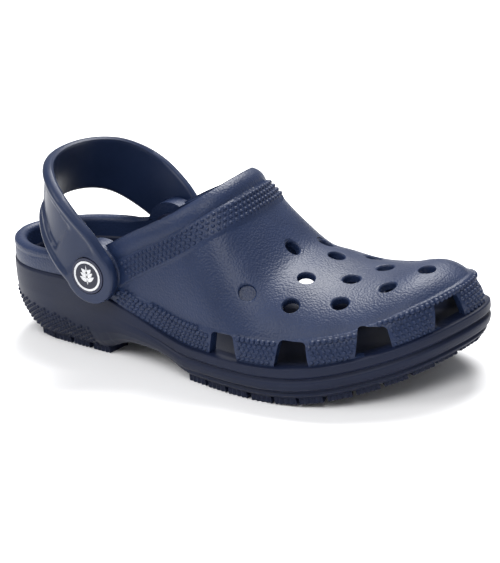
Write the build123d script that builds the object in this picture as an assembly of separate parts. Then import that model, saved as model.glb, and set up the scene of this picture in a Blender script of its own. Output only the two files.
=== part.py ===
from build123d import *
from math import atan2, cos, degrees, pi, sqrt
import os

# Garden clog for a right foot, as the separate pieces that it comes apart into.
# Millimetres. +X runs to the toe, +Y to the inner side of the foot and +Z up.
# The origin is the middle of the footprint, on the ground.

# ---- overall sizes -------------------------------------------------------------------------
LENGTH = 288.0  # heel to toe
WIDTH = 115.0  # across the ball of the foot
TOE_SPRING = 19.0  # how far the toe curls up off the ground
SPRING_START = 0.14 * LENGTH  # where the toe starts to curl up

# ---- sole ----------------------------------------------------------------------------------
RIM_HEIGHT = 21.5  # parting line over the ball of the foot
HEEL_SEAM = 45.0  # the same parting line, round the heel
SOLE_WALL = 9.0  # side wall of the footbed's tray
FOOTBED_FRONT = 15.0  # footbed height under the ball of the foot
FOOTBED_HEEL = 23.0
ARCH_RISE = 11.0  # gap between the arch and the ground
TREAD_INSET = 5.0  # the tread stands this far inside the widest line of the sole
HEEL_TREAD_INSET = 9.0
HEEL_TREAD_REAR = -0.43 * LENGTH
HEEL_TREAD_FRONT = -0.22 * LENGTH
BALL_TREAD_REAR = -0.02 * LENGTH
LUG_HEIGHT = 4.0
LUG_PITCH = 15.0
LUG_GAP = 2.6
LUG_GAP_LENGTH = 13.0

# ---- upper ---------------------------------------------------------------------------------
UPPER_INSET = 3.0  # the upper stands this far inside the sole's rim
HEEL_INSET = 1.2
UPPER_WALL = 4.5
HEEL_WALL = 7.5  # thickness of the band round the heel
HEEL_RIM = 54.0  # top of the band round the heel
HOLE_RADIUS = 4.4  # round air holes
BLIND_HOLE_DEPTH = 2.0
VENT_COUNT = 8  # air windows that stand on the parting line
VENT_START = 0.285  # share of the outline, from the heel round the outer side
VENT_PITCH = 43.0
VENT_WIDTH = 19.5
VENT_TOP_WIDTH = 14.5
VENT_HEIGHT = 12.5
CROSS_EXPONENT = 2.2  # shape across the vamp: 2 is an ellipse, more is squarer
UPPER_LEVELS = (
    8, 18, 26, 33, 39, 45, 50, 54, 57, 57.8, 58.3, 58.8, 60, 63, 69, 77, 87, 99, 115,
)  # heights of the contours that the upper's faces are ruled through
CREST_REAR = -0.14 * LENGTH  # the guide surface's crest starts here, behind the real collar

# ---- strap and rivets ------------------------------------------------------------------------
PIVOT_X = -58.7
PIVOT_Z = 53.3
PIVOT_MIDDLE_Y = 1.8  # middle of the waist at the pivot
BEARING_HALF_SPAN = 42.0  # waist's middle to the flat pad that each eye turns on
BOSS_RADIUS = 15.0
BOSS_DEPTH = 10.5  # through the shell, pad to pad
MOVING_GAP = 0.4  # between each eye and its pad
EYE_RADIUS = 16.5
STRAP_THICKNESS = 7.0
STRAP_REACH = 50.0  # pivot to the outside of the strap behind the ankle
STRAP_TILT = 14.0  # degrees that the band leans forward at its top
STRAP_FORWARD = 30.0  # length of the straight arms ahead of the pivot, before the eyes are cut
STRAP_LEAN_LEVEL = 43.0  # above the pivot, where the leaning band keeps its reach
SHANK_RADIUS = 4.0
SHANK_CLEARANCE = 0.06
HEAD_RADIUS = 10.0
HEAD_THICKNESS = 2.4
HEAD_POCKET_DEPTH = 3.0
HEAD_CLEARANCE = 0.4
BADGE_RADIUS = 8.8
BADGE_THICKNESS = 0.9
BADGE_SINK = 0.6
CAP_RADIUS = 9.0
CAP_THICKNESS = 3.4
SNAP_RADIUS = 2.4
SNAP_LENGTH = 2.2

CAP_ROOM = 1.0  # round the cap, inside the boss
PAST = 5.0  # how far a cutting tool runs past the face that it cuts

BOSS_INNER = BEARING_HALF_SPAN - BOSS_DEPTH  # distances from the middle of the waist
EYE_INNER = BEARING_HALF_SPAN + MOVING_GAP
EYE_OUTER = EYE_INNER + STRAP_THICKNESS

# ---- curves, as (x, other) pairs --------------------------------------------------------------
OUTLINE = [
    (-0.500, 0.031), (-0.476, -0.126), (-0.413, -0.243), (-0.319, -0.296), (-0.201, -0.339),
    (-0.069, -0.383), (0.069, -0.465), (0.181, -0.500), (0.278, -0.474), (0.365, -0.370),
    (0.434, -0.230), (0.481, -0.048), (0.500, 0.126), (0.483, 0.265), (0.431, 0.387),
    (0.340, 0.470), (0.243, 0.500), (0.139, 0.487), (0.028, 0.439), (-0.076, 0.396),
    (-0.201, 0.370), (-0.319, 0.352), (-0.413, 0.291), (-0.476, 0.170),
]  # plan of the sole, in shares of length and width
RIDGE = [
    (-0.14, 131.0), (0.05, 99.0), (0.104, 79.2), (0.156, 66.5), (0.208, 61.0),
    (0.26, 59.0), (0.33, 58.5), (0.417, 58.0), (0.5, 57.5),
]  # crest of the instep: share of length, height
COLLAR = [
    (-0.60, HEEL_RIM), (-0.45, HEEL_RIM), (-0.32, HEEL_RIM), (-0.243, HEEL_RIM + 4.5),
    (-0.184, 67.0), (-0.115, 77.0), (-0.042, 87.0), (0.010, 96.5), (0.049, 104.0), (0.12, 122.0),
]  # edge of the foot opening: share of length, height
HOLES = [
    (0.149, 0.00), (0.212, 0.10), (0.312, 0.10), (0.403, 0.05), (0.205, -0.15), (0.274, -0.05),
    (0.354, -0.10), (0.208, -0.31), (0.288, -0.23), (0.167, 0.22), (0.260, 0.235), (0.351, 0.235),
]  # centres of the air holes, in shares of length and width
BLIND_HOLE = (0.130, -0.345)  # a moulded mark beside them that stays closed
STRAP_FRONT_EDGE = [(12.0, 11.3), (3.0, 24.0), (-12.0, 38.0), (-29.0, 49.0), (-66.0, 57.5)]
STRAP_REAR_EDGE = [(-68.0, 28.0), (-54.0, 25.5), (-44.0, 20.0), (-31.0, 8.0), (-15.5, -5.8)]
# both from the pivot, as the strap stands at rest


def smooth(value, low, high):
    """0 below low, 1 above high, and an even S between them."""
    t = min(1.0, max(0.0, (value - low) / (high - low)))
    return t * t * (3 - 2 * t)


def through(points):
    """A smooth function of x through (x, value) points, level beyond both ends."""
    xs = [x for x, _ in points]
    vs = [v for _, v in points]
    slopes = []
    for i in range(len(points)):
        a, b = max(0, i - 1), min(len(points) - 1, i + 1)
        slopes.append((vs[b] - vs[a]) / (xs[b] - xs[a]))

    def value(x):
        if x <= xs[0]:
            return vs[0]
        if x >= xs[-1]:
            return vs[-1]
        i = max(k for k in range(len(xs) - 1) if xs[k] <= x)
        h = xs[i + 1] - xs[i]
        t = (x - xs[i]) / h
        bend = t * t * (3 - 2 * t)
        start, end = t * (1 - t) ** 2 * h * slopes[i], t * t * (t - 1) * h * slopes[i + 1]
        return vs[i] + (vs[i + 1] - vs[i]) * bend + start + end

    return value


def outline_samples(count):
    """(x, y, outward x, outward y) round the sole, from the heel along the outer side."""
    edge = Edge.make_spline([Vector(x * LENGTH, y * WIDTH, 0) for x, y in OUTLINE], periodic=True)
    box = edge.bounding_box()
    middle = (box.min + box.max) / 2
    found = []
    for k in range(count):
        place = edge.position_at(k / count) - middle
        along = edge.tangent_at(k / count)
        found.append((place.X, place.Y, along.Y, -along.X))
    return found, edge.length


RING, OUTLINE_LENGTH = outline_samples(36)
FINE_RING, _ = outline_samples(720)
ridge_line = through([(x * LENGTH, z) for x, z in RIDGE])


def spring(x):
    return TOE_SPRING * max(0.0, (x - SPRING_START) / (LENGTH / 2 - SPRING_START)) ** 2


def seam_height(x):
    """The parting line: over the forefoot it follows the toe's curl, then it climbs to the heel."""
    climb = smooth(-x, -0.02 * LENGTH, 0.30 * LENGTH)
    return RIM_HEIGHT + spring(x) + (HEEL_SEAM - RIM_HEIGHT) * climb


def footbed_height(x):
    climb = smooth(-x, -0.02 * LENGTH, 0.24 * LENGTH)
    return FOOTBED_FRONT + spring(x) + (FOOTBED_HEEL - FOOTBED_FRONT) * climb


def ring(inset, height):
    """A smooth closed wire round the foot. Both arguments are functions of x."""
    points = []
    for x, y, nx, ny in RING:
        px, py = x - nx * inset(x), y - ny * inset(x)
        points.append(Vector(px, py, height(x)))
    return Wire([Edge.make_spline(points, periodic=True)])


def prism_ring(inset, low, high):
    return Solid.make_loft([ring(inset, lambda x: low), ring(inset, lambda x: high)], ruled=True)


def across(face):
    """Extrudes a face that stands on the plane y = 0 to both sides of the shoe."""
    return Solid.extrude(face.moved(Location((0, -WIDTH, 0))), Vector(0, 2 * WIDTH, 0))


def under(function, low=-60.0):
    """Everything under the line z = function(x)."""
    reach = 0.6 * LENGTH
    count = 40
    xs = [-reach + 2 * reach * k / count for k in range(count + 1)]
    top = Edge.make_spline([Vector(x, 0, function(x)) for x in xs])
    a, b = top.position_at(0), top.position_at(1)
    low_a, low_b = Vector(a.X, 0, low), Vector(b.X, 0, low)
    sides = [Edge.make_line(b, low_b), Edge.make_line(low_b, low_a), Edge.make_line(low_a, a)]
    return across(Face(Wire([top, *sides])))


# ---- sole --------------------------------------------------------------------------------------
def tread_inset(x):
    return TREAD_INSET + (HEEL_TREAD_INSET - TREAD_INSET) * smooth(-x, 0.05 * LENGTH, 0.2 * LENGTH)


def make_sole():
    """One moulding: the bulging outer wall, the tray of the footbed and the lugged tread."""
    def level(share):
        return lambda x: spring(x) + share * (seam_height(x) - spring(x))

    body = Solid.make_loft([
        ring(tread_inset, lambda x: -20.0),
        ring(tread_inset, level(-0.06)),
        ring(lambda x: 0.35 * tread_inset(x), level(0.28)),
        ring(lambda x: 0.0, level(0.62)),
        ring(lambda x: HEEL_INSET, lambda x: 130.0),
    ], ruled=True)
    tray = prism_ring(lambda x: SOLE_WALL, -30.0, 140.0) - under(footbed_height)
    body = (body & under(seam_height)) - tray - ground_side()
    return body - lug_gaps()


def ground_side():
    """What is missing below: the worn-in heel corner, the arch and the curl of the toe."""
    front = LENGTH / 2 + 10
    middle = (HEEL_TREAD_FRONT + BALL_TREAD_REAR) / 2
    shoulder = 0.7 * ARCH_RISE
    bevel = [(-0.52 * LENGTH, 34), (-0.485 * LENGTH, 13), (HEEL_TREAD_REAR, 0)]
    arch = [(HEEL_TREAD_FRONT, 0), (HEEL_TREAD_FRONT + 7, shoulder), (middle, ARCH_RISE),
            (BALL_TREAD_REAR - 9, shoulder), (BALL_TREAD_REAR, 0)]
    steps = 10
    run = (front - SPRING_START) / steps
    toe = [(SPRING_START + run * k, spring(SPRING_START + run * k)) for k in range(steps + 1)]
    bevel, arch, toe = ([Vector(x, 0, z) for x, z in line] for line in (bevel, arch, toe))
    low = Vector(0, 0, -80)
    corners = [toe[-1], toe[-1] + low, bevel[0] + low, bevel[0]]
    edges = [Edge.make_spline(bevel), Edge.make_line(bevel[-1], arch[0]), Edge.make_spline(arch),
             Edge.make_line(arch[-1], toe[0]), Edge.make_spline(toe)]
    edges += [Edge.make_line(a, b) for a, b in zip(corners, corners[1:])]
    return across(Face(Wire(edges)))


def lug_gaps():
    """Notches between the lugs, square to the edge of the sole."""
    cutters = []
    samples, _ = outline_samples(int(OUTLINE_LENGTH / LUG_PITCH))
    for x, y, nx, ny in samples:
        in_arch = HEEL_TREAD_FRONT - 4 < x < BALL_TREAD_REAR + 6
        if in_arch or x < HEEL_TREAD_REAR:
            continue
        gap = Solid.make_box(2 * LUG_GAP_LENGTH, LUG_GAP, 2 * LUG_HEIGHT)
        gap = gap.moved(Location((-LUG_GAP_LENGTH, -LUG_GAP / 2, -LUG_HEIGHT)))
        place = (x - nx * TREAD_INSET, y - ny * TREAD_INSET, spring(x))
        cutters.append(gap.moved(Location(place, (0, 0, degrees(atan2(ny, nx))))))
    return cutters


# ---- upper ------------------------------------------------------------------------------------
def crest_y(x):
    return 2.0 + 13.0 * smooth(x, -0.1 * LENGTH, 0.5 * LENGTH)


def upper_inset(x):
    return HEEL_INSET + (UPPER_INSET - HEEL_INSET) * smooth(x, -0.2 * LENGTH, -0.02 * LENGTH)


def upper_wall(x):
    return HEEL_WALL + (UPPER_WALL - HEEL_WALL) * smooth(x, -0.2 * LENGTH, -0.02 * LENGTH)


def side_lines(depth):
    """The upper's plan, depth times its wall inside: (x, y) tables of both sides, and its front."""
    points = []
    for x, y, nx, ny in FINE_RING:
        inset = upper_inset(x) + depth * upper_wall(x)
        points.append((x - nx * inset, y - ny * inset))
    outer = sorted(p for p in points if p[1] < crest_y(p[0]))
    inner = sorted(p for p in points if p[1] >= crest_y(p[0]))
    return outer, inner, max(x for x, _ in points)


def read(table, x):
    for (x0, y0), (x1, y1) in zip(table, table[1:]):
        if x <= x1:
            return y0 + (y1 - y0) * (x - x0) / max(1e-9, x1 - x0)
    return table[-1][1]


SIDES = {depth: side_lines(depth) for depth in (0, 1)}


def crest_height(x, depth):
    """The crest, rounded down to the parting line at the front of the toe."""
    front = SIDES[depth][2]
    start = 0.365 * LENGTH
    share = min(1.0, max(0.0, (x - start) / (front - start)))
    base = seam_height(x)
    return base + (ridge_line(x) - depth * UPPER_WALL - base) * sqrt(1 - share ** 2.65)


def vamp_height(x, y, depth=0):
    """Height of the upper's outer (depth 0) or inner (depth 1) face over a point of the plan."""
    outer, inner, _ = SIDES[depth]
    middle = crest_y(x)
    edge = read(outer, x) if y < middle else read(inner, x)
    share = min(1.0, abs((y - middle) / (edge - middle)))
    base = seam_height(x)
    return base + (crest_height(x, depth) - base) * sqrt(1 - share ** CROSS_EXPONENT)


def level_ring(z, depth):
    """The closed contour of the upper's outer (depth 0) or inner (depth 1) face at one height."""
    outer, inner, front = SIDES[depth]
    rear = outer[0][0] + 0.05
    low, tip = CREST_REAR, front - 0.05
    for _ in range(40):  # the crest falls all the way to the toe, so its x at height z is bisected
        x = (low + tip) / 2
        low, tip = (x, tip) if crest_height(x, depth) > z else (low, x)
    steps = 16
    sides = []
    for table in (outer, inner):
        line = []
        for k in range(steps + 1):
            x = rear + (tip - rear) * (1 - cos(pi * k / steps)) / 2
            base, crest, middle = seam_height(x), crest_height(x, depth), crest_y(x)
            share = min(1.0, max(0.0, (z - base) / (crest - base)))
            spread = (1 - share**2) ** (1 / CROSS_EXPONENT) if k < steps else 0.0
            line.append(Vector(x, middle + (read(table, x) - middle) * spread, z))
        sides.append(line)
    points = sides[0] + sides[1][-2:0:-1]
    return Wire([Edge.make_spline(points, periodic=True)])


def upper_face_solid(depth):
    """Everything inside one face of the upper, open neither above nor below."""
    rings = [level_ring(z - depth * 0.8 * UPPER_WALL, depth) for z in UPPER_LEVELS]
    return Solid.make_loft(rings, ruled=True)


def surface_frame(x, y):
    """Where the outer face is, and which way it faces."""
    step = 0.5
    slope_x = (vamp_height(x + step, y) - vamp_height(x - step, y)) / (2 * step)
    slope_y = (vamp_height(x, y + step) - vamp_height(x, y - step)) / (2 * step)
    return Plane(origin=(x, y, vamp_height(x, y)), z_dir=(-slope_x, -slope_y, 1))


def round_cutter(share, depth):
    above = 5.0
    plane = surface_frame(share[0] * LENGTH, share[1] * WIDTH)
    return Solid.make_cylinder(HOLE_RADIUS, above + depth, plane.offset(-depth))


def vents():
    """Windows with sloping sides that stand on the parting line round the toe."""
    cutters = []
    count = len(FINE_RING)
    outside, depth, sill = 5.0, 22.0, 0.8
    half_foot, half_top = VENT_WIDTH / 2, VENT_TOP_WIDTH / 2
    corners = [(-half_foot, sill), (half_foot, sill), (half_top, VENT_HEIGHT), (-half_top, VENT_HEIGHT)]
    for k in range(VENT_COUNT):
        share = VENT_START + k * VENT_PITCH / OUTLINE_LENGTH
        x, y, nx, ny = FINE_RING[round(share * count) % count]
        start = Vector(x + outside * nx, y + outside * ny, seam_height(x))
        shape = [start + Vector(-ny * u, nx * u, v) for u, v in corners]
        face = Face(Wire.make_polygon(shape, close=True))
        cutters.append(Solid.extrude(face, Vector(-nx, -ny, 0) * depth))
    return cutters


def lateral_disc(radius, outer, thickness):
    """A disc on the pivot's axis, on the outer side; outer is its distance from the middle."""
    base = Plane(origin=(PIVOT_X, PIVOT_MIDDLE_Y - outer, PIVOT_Z), z_dir=(0, 1, 0))
    return Solid.make_cylinder(radius, thickness, base)


def both_sides(solid):
    middle = Plane(origin=(0, PIVOT_MIDDLE_Y, 0), z_dir=(0, 1, 0))
    return [solid, solid.mirror(middle)]


def make_upper():
    """The vamp, its collar and the band round the heel, in one shell."""
    collar = through([(x * LENGTH, z) for x, z in COLLAR])
    region = under(collar) - under(seam_height)
    shell = (upper_face_solid(0) & region) - upper_face_solid(1)
    bosses = both_sides(lateral_disc(BOSS_RADIUS, BEARING_HALF_SPAN, BOSS_DEPTH))
    shell = shell.fuse(*[boss & region for boss in bosses])
    bore = SHANK_RADIUS + SHANK_CLEARANCE
    bores = both_sides(lateral_disc(bore, BEARING_HALF_SPAN + PAST, BOSS_DEPTH + 2 * PAST))
    bores += both_sides(lateral_disc(CAP_RADIUS + CAP_ROOM, BOSS_INNER, 2 * PAST))
    holes = [round_cutter(place, 2.2 * UPPER_WALL) for place in HOLES]
    shell = shell - bores - vents()
    return shell - (holes + [round_cutter(BLIND_HOLE, BLIND_HOLE_DEPTH)])


# ---- strap --------------------------------------------------------------------------------------
def strap_plan(half_width, reach):
    """A U in plan: straight past the eyes and half an ellipse behind the ankle."""
    pivot = Pos(PIVOT_X, PIVOT_MIDDLE_Y)
    loop = pivot * Ellipse(reach, half_width)
    straight = pivot * Pos(STRAP_FORWARD / 2, 0) * Rectangle(STRAP_FORWARD, 2 * half_width)
    return loop + straight


def make_strap():
    """A U-shaped band with an eye at each end, leaning forward at its top as it stands at rest."""
    tall = 140.0
    low = 20.0
    plan = strap_plan(EYE_OUTER, STRAP_REACH) - strap_plan(EYE_INNER, STRAP_REACH - STRAP_THICKNESS)
    past_the_eyes = Pos(PIVOT_X + STRAP_FORWARD + 20, PIVOT_MIDDLE_Y)
    plan -= past_the_eyes * Rectangle(40, 4 * EYE_OUTER)
    wall = extrude(Pos(0, 0, low) * plan, tall)
    level = PIVOT_Z + STRAP_LEAN_LEVEL
    wall = Pos(PIVOT_X, 0, level) * Rot(0, STRAP_TILT, 0) * Pos(-PIVOT_X, 0, -level) * wall
    front = [Vector(PIVOT_X + x, 0, PIVOT_Z + z) for x, z in STRAP_FRONT_EDGE]
    rear = [Vector(PIVOT_X + x, 0, PIVOT_Z + z) for x, z in STRAP_REAR_EDGE]
    edges = [Edge.make_spline(front), Edge.make_line(front[-1], rear[0]), Edge.make_spline(rear),
             Edge.make_line(rear[-1], front[0])]
    side = across(Face(Wire(edges)))
    eye = lateral_disc(EYE_RADIUS, EYE_OUTER + 20, 2 * EYE_OUTER + 40)
    band = wall & (Part() + side + eye)
    pocket = lateral_disc(HEAD_RADIUS + HEAD_CLEARANCE, EYE_OUTER + PAST, PAST + HEAD_POCKET_DEPTH)
    bore = lateral_disc(SHANK_RADIUS + SHANK_CLEARANCE, EYE_OUTER + PAST, STRAP_THICKNESS + 2 * PAST)
    for tool in both_sides(pocket) + both_sides(bore):
        band -= tool
    return band


# ---- rivets --------------------------------------------------------------------------------------
HEAD_SEAT = EYE_OUTER - HEAD_POCKET_DEPTH + 0.3  # underside of the head, clear of the turning strap
HEAD_TOP = HEAD_SEAT + HEAD_THICKNESS


def make_rivet():
    """A head with a recess for its badge, a shank that the strap turns on, and a snap tip."""
    head = lateral_disc(HEAD_RADIUS, HEAD_TOP, HEAD_THICKNESS)
    shank = lateral_disc(SHANK_RADIUS, HEAD_SEAT + 0.5, HEAD_SEAT + 0.5 - BOSS_INNER)
    tip = lateral_disc(SNAP_RADIUS, BOSS_INNER + 0.5, SNAP_LENGTH + 0.5)
    return head.fuse(shank, tip) - lateral_disc(BADGE_RADIUS, HEAD_TOP + PAST, PAST + BADGE_SINK)


def make_cap():
    """The button inside the shoe that the rivet's tip snaps into."""
    cap = lateral_disc(CAP_RADIUS, BOSS_INNER, CAP_THICKNESS)
    return cap - lateral_disc(SNAP_RADIUS, BOSS_INNER + 1, SNAP_LENGTH + 1)


def make_badge():
    return lateral_disc(BADGE_RADIUS, HEAD_TOP - BADGE_SINK + BADGE_THICKNESS, BADGE_THICKNESS)


def main():
    os.makedirs("parts", exist_ok=True)
    export_step(make_sole(), "parts/sole.step")
    export_step(make_upper(), "parts/upper_shell.step")
    export_step(make_strap(), "parts/heel_strap.step")
    pieces = {"rivet": make_rivet(), "rivet_cap": make_cap(), "rivet_badge": make_badge()}
    for name, piece in pieces.items():
        for side, solid in zip(("outer", "inner"), both_sides(piece)):
            export_step(solid, f"parts/{name}_{side}.step")


main()
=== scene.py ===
import bmesh
import bpy
import numpy as np
from math import cos, pi, radians, sin, sqrt
from mathutils import Matrix, Vector


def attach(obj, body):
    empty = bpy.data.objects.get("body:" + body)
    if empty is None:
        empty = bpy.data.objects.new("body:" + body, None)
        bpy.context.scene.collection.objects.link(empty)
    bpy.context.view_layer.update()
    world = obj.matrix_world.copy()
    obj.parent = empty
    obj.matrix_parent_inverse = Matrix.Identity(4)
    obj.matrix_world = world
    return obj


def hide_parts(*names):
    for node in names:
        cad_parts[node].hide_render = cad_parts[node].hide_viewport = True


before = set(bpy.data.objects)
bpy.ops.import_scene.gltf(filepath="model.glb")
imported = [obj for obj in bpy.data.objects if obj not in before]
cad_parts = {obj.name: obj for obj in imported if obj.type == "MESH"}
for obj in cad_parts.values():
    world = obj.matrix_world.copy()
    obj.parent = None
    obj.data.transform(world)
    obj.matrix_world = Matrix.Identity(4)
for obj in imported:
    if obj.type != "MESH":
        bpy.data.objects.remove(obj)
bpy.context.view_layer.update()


# ---- Studio -------------------------------------------------------------------------------
# A clog on a pale sweep of paper, seen from its outer side a little ahead of the middle,
# under one softbox high up behind it, one in front and one from the left.
CAMERA_AZIMUTH, CAMERA_ELEVATION, CAMERA_ROLL = radians(33.5), radians(20.7), radians(-5.2)
CAMERA_DISTANCE = 0.8976
CAMERA_AIM = Vector((0.0054, 0.0121, 0.0365))
CAMERA_LENS = 105.4

back = Vector((sin(CAMERA_AZIMUTH) * cos(CAMERA_ELEVATION),
               -cos(CAMERA_AZIMUTH) * cos(CAMERA_ELEVATION), sin(CAMERA_ELEVATION)))
right = Vector((0, 0, 1)).cross(back).normalized()
up = back.cross(right)
rolled_right = right * cos(CAMERA_ROLL) + up * sin(CAMERA_ROLL)
rolled_up = up * cos(CAMERA_ROLL) - right * sin(CAMERA_ROLL)
camera = bpy.data.objects.new("camera", bpy.data.cameras.new("camera"))
camera.data.lens = CAMERA_LENS
camera.data.sensor_width = 36
turn = Matrix((rolled_right, rolled_up, back)).transposed().to_4x4()
camera.matrix_world = Matrix.Translation(CAMERA_AIM + back * CAMERA_DISTANCE) @ turn
bpy.context.scene.collection.objects.link(camera)
bpy.context.scene.camera = camera
bpy.context.scene.view_settings.view_transform = "Standard"


def softbox(name, place, aim, size, power):
    light = bpy.data.lights.new(name, "AREA")
    light.shape, light.size, light.size_y = "RECTANGLE", size[0], size[1]
    light.energy = power
    lamp = bpy.data.objects.new(name, light)
    lamp.location = place
    lamp.rotation_euler = (Vector(aim) - Vector(place)).to_track_quat("-Z", "Y").to_euler()
    bpy.context.scene.collection.objects.link(lamp)


softbox("overhead_softbox", (-0.15, 0.65, 1.1), (0, 0, 0.03), (0.8, 0.6), 26)
softbox("front_softbox", (0.35, -0.8, 1.15), (0.02, 0, 0.04), (0.7, 0.7), 11)
softbox("left_softbox", (-0.85, -0.9, 1.05), (0.02, 0, 0.05), (0.6, 0.8), 9)

world = bpy.data.worlds.new("paper_room")
world.use_nodes = True
world.node_tree.nodes["Background"].inputs["Color"].default_value = (1, 1, 1, 1)
world.node_tree.nodes["Background"].inputs["Strength"].default_value = 0.38
bpy.context.scene.world = world

paper = bpy.data.materials.new("paper_sweep")
paper.use_nodes = True
paper.node_tree.nodes["Principled BSDF"].inputs["Base Color"].default_value = (0.93, 0.93, 0.94, 1)
paper.node_tree.nodes["Principled BSDF"].inputs["Roughness"].default_value = 0.9
sheet = bpy.data.meshes.new("paper_sweep")
HALF_PAPER = 3.0
sheet.from_pydata([(-HALF_PAPER, -HALF_PAPER, 0), (HALF_PAPER, -HALF_PAPER, 0),
                   (HALF_PAPER, HALF_PAPER, 0), (-HALF_PAPER, HALF_PAPER, 0)], [], [(0, 1, 2, 3)])
sheet.materials.append(paper)
floor = bpy.data.objects.new("paper_sweep", sheet)
bpy.context.scene.collection.objects.link(floor)


# ---- Foam sole ----------------------------------------------------------------------------
# The bottom half of the clog is one injection-moulded piece of closed-cell foam: a bulging side
# wall with pressed-in grooves, the tray of the footbed inside it and a tread of lugs below.
LENGTH, WIDTH = 288.0, 115.0
TOE_SPRING, SPRING_START = 19.0, 40.3
RIM_HEIGHT, HEEL_SEAM = 21.5, 45.0
HEEL_TREAD_REAR, HEEL_TREAD_FRONT, BALL_TREAD_REAR = -124.0, -63.4, -5.8
ARCH_RISE = 11.0
LUG_HEIGHT = 4.0
OUTLINE = [
    (-0.500, 0.031), (-0.476, -0.126), (-0.413, -0.243), (-0.319, -0.296), (-0.201, -0.339),
    (-0.069, -0.383), (0.069, -0.465), (0.181, -0.500), (0.278, -0.474), (0.365, -0.370),
    (0.434, -0.230), (0.481, -0.048), (0.500, 0.126), (0.483, 0.265), (0.431, 0.387),
    (0.340, 0.470), (0.243, 0.500), (0.139, 0.487), (0.028, 0.439), (-0.076, 0.396),
    (-0.201, 0.370), (-0.319, 0.352), (-0.413, 0.291), (-0.476, 0.170),
]


def ease(value, low, high):
    t = np.clip((np.asarray(value, float) - low) / (high - low), 0, 1)
    return t * t * (3 - 2 * t)


def closed_spline(points, count):
    """Evenly spaced points on the smooth closed curve through the given ones."""
    points = np.asarray(points, float)
    n = len(points)
    ahead = np.roll(points, -1, 0)
    h = np.linalg.norm(ahead - points, axis=1)
    system, pull = np.zeros((n, n)), np.zeros_like(points)
    for i in range(n):
        before, after = (i - 1) % n, (i + 1) % n
        system[i, before] += h[before]
        system[i, i] += 2 * (h[before] + h[i])
        system[i, after] += h[i]
        pull[i] = 6 * ((points[after] - points[i]) / h[i] - (points[i] - points[before]) / h[before])
    bend = np.linalg.solve(system, pull)
    dense = []
    for i in range(n):
        t = np.linspace(0, h[i], 60, endpoint=False)[:, None]
        after = (i + 1) % n
        a = (h[i] - t) ** 3 * bend[i] + t**3 * bend[after]
        b = (points[i] / h[i] - bend[i] * h[i] / 6) * (h[i] - t)
        c = (points[after] / h[i] - bend[after] * h[i] / 6) * t
        dense.append(a / (6 * h[i]) + b + c)
    return even_loop(np.vstack(dense), count)


def even_loop(dense, count):
    closed = np.vstack([dense, dense[:1]])
    run = np.r_[0, np.cumsum(np.linalg.norm(np.diff(closed, axis=0), axis=1))]
    at = np.linspace(0, run[-1], count, endpoint=False)
    return np.stack([np.interp(at, run, closed[:, k]) for k in range(closed.shape[1])], 1)


def outward(loop):
    along = np.roll(loop, -1, 0) - np.roll(loop, 1, 0)
    normal = np.stack([along[:, 1], -along[:, 0]], 1)
    normal /= np.linalg.norm(normal, axis=1)[:, None]
    return normal


PLAN = closed_spline([(x * LENGTH, y * WIDTH) for x, y in OUTLINE], 720)
PLAN -= (PLAN.max(0) + PLAN.min(0)) / 2
PLAN_OUT = outward(PLAN)


def spring(x):
    return TOE_SPRING * np.maximum(0, (x - SPRING_START) / (LENGTH / 2 - SPRING_START)) ** 2


def seam_height(x):
    climb = ease(-np.asarray(x), -0.02 * LENGTH, 0.30 * LENGTH)
    return RIM_HEIGHT + spring(x) + (HEEL_SEAM - RIM_HEIGHT) * climb


def footbed_height(x):
    return 15.0 + spring(x) + 8.0 * ease(-x, -0.02 * LENGTH, 0.24 * LENGTH)


def ground_line(x):
    """Underside of the sole along the middle: bevelled heel, flat heel tread, arch, ball and toe."""
    x = np.asarray(x, float)
    middle = (HEEL_TREAD_FRONT + BALL_TREAD_REAR) / 2
    half = (BALL_TREAD_REAR - HEEL_TREAD_FRONT) / 2
    arch = ARCH_RISE * np.sqrt(np.clip(1 - np.abs((x - middle) / half) ** 2.6, 0, 1))
    bevel = 17.0 * np.clip((HEEL_TREAD_REAR - x) / 20.0, 0, 1) ** 1.5
    return arch + bevel + spring(x)


def moulded(name, points, faces, material=None, smooth=True):
    """A mesh object from points in millimetres."""
    mesh = bpy.data.meshes.new(name)
    mesh.from_pydata((np.asarray(points) * 0.001).tolist(), [], faces)
    mesh.validate()
    if smooth:
        mesh.polygons.foreach_set("use_smooth", [True] * len(mesh.polygons))
    if material:
        mesh.materials.append(material)
    made = bpy.data.objects.new(name, mesh)
    bpy.context.scene.collection.objects.link(made)
    return made


def ring_faces(rings, count, flip=False):
    """Quads between one closed ring of points and the next."""
    faces = []
    for r in range(rings - 1):
        for k in range(count):
            a, b = r * count + k, r * count + (k + 1) % count
            quad = (a, b, b + count, a + count)
            faces.append(quad[::-1] if flip else quad)
    return faces


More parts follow.
